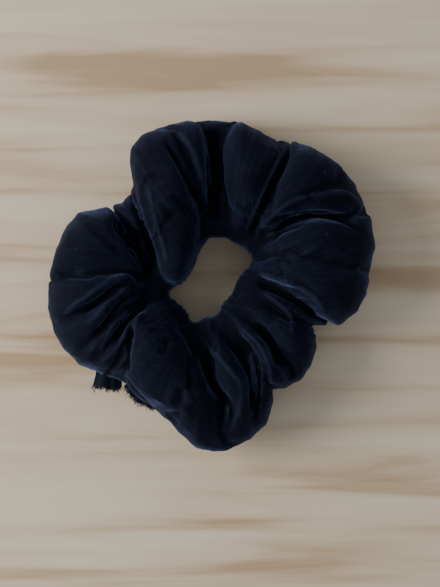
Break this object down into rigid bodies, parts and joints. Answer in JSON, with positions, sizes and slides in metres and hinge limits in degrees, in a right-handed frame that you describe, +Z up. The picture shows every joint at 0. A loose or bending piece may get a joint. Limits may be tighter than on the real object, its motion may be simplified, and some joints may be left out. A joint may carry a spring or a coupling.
{
  "type": "scrunchie",
  "caption": "Soft hair scrunchie: a plump ring of dark velvet gathered onto an elastic loop, with a sewn closing seam and frayed raw hems; it stretches open and springs back.",
  "frame": {"origin": "on the surface the relaxed ring lies on, under the middle of the hole", "axes": "+Z up through the hole; +X and +Y across the ring, with the closing seam 224 degrees from +X, turning towards +Y"},
  "size_m": [0.1087, 0.1089, 0.031],
  "materials": {
    "velvet": "matte",
    "elastic": "matte",
    "seam_thread": "satin",
    "tack_thread": "satin"
  },
  "bodies": {
    "length_0": {"cover_0": "velvet", "elastic_0": "elastic", "seam_thread_0": "seam_thread", "closing_thread": "seam_thread"},
    "length_1": {"cover_1": "velvet", "elastic_1": "elastic", "seam_thread_1": "seam_thread"},
    "length_2": {"cover_2": "velvet", "elastic_2": "elastic", "seam_thread_2": "seam_thread"},
    "length_3": {"cover_3": "velvet", "elastic_3": "elastic", "seam_thread_3": "seam_thread"},
    "length_4": {"cover_4": "velvet", "elastic_4": "elastic", "seam_thread_4": "seam_thread"},
    "length_5": {"cover_5": "velvet", "elastic_end_a": "elastic", "elastic_end_b": "elastic", "elastic_tack": "tack_thread", "seam_thread_5": "seam_thread"},
    "length_6": {"cover_6": "velvet", "elastic_6": "elastic", "seam_thread_6": "seam_thread"},
    "length_7": {"cover_7": "velvet", "elastic_7": "elastic", "seam_thread_7": "seam_thread"},
    "length_8": {"cover_8": "velvet", "elastic_8": "elastic", "seam_thread_8": "seam_thread"},
    "length_9": {"cover_9": "velvet", "elastic_9": "elastic", "seam_thread_9": "seam_thread"}
  },
  "joints": [
    {"name": "stretch", "type": "slide", "parent": "length_5", "child": "length_4", "axis": [0.3987, -0.9171, 0], "range_m": [0, 0.014], "stiffness_N_per_m": 286},
    {"name": "stretch_3", "type": "slide", "parent": "length_4", "child": "length_3", "axis": [-0.3007, -0.9537, 0], "range_m": [0, 0.01689], "stiffness_N_per_m": 237},
    {"name": "stretch_2", "type": "slide", "parent": "length_3", "child": "length_2", "axis": [-0.8192, -0.5736, 0], "range_m": [0, 0.01142], "stiffness_N_per_m": 350},
    {"name": "stretch_1", "type": "slide", "parent": "length_2", "child": "length_1", "axis": [-0.9998, -0.0175, 0], "range_m": [0, 0.01436], "stiffness_N_per_m": 278},
    {"name": "stretch_0", "type": "slide", "parent": "length_1", "child": "length_0", "axis": [-0.848, 0.5299, 0], "range_m": [0, 0.01067], "stiffness_N_per_m": 375},
    {"name": "stretch_5", "type": "slide", "parent": "length_5", "child": "length_6", "axis": [-0.8616, 0.5075, 0], "range_m": [0, 0.01327], "stiffness_N_per_m": 301},
    {"name": "stretch_6", "type": "slide", "parent": "length_6", "child": "length_7", "axis": [-0.9945, -0.1045, 0], "range_m": [0, 0.01436], "stiffness_N_per_m": 278},
    {"name": "stretch_7", "type": "slide", "parent": "length_7", "child": "length_8", "axis": [-0.5299, -0.848, 0], "range_m": [0, 0.02403], "stiffness_N_per_m": 166},
    {"name": "stretch_8", "type": "slide", "parent": "length_8", "child": "length_9", "axis": [0.3827, -0.9239, 0], "range_m": [0, 0.01617], "stiffness_N_per_m": 247}
  ],
  "couplings": [
    {"joint": "stretch_3", "follows": "stretch", "ratio": 1.206},
    {"joint": "stretch_2", "follows": "stretch", "ratio": 0.81568},
    {"joint": "stretch_1", "follows": "stretch", "ratio": 1.026},
    {"joint": "stretch_0", "follows": "stretch", "ratio": 0.76243},
    {"joint": "stretch_5", "follows": "stretch", "ratio": 0.94769},
    {"joint": "stretch_6", "follows": "stretch", "ratio": 1.026},
    {"joint": "stretch_7", "follows": "stretch", "ratio": 1.7165},
    {"joint": "stretch_8", "follows": "stretch", "ratio": 1.155}
  ]
}
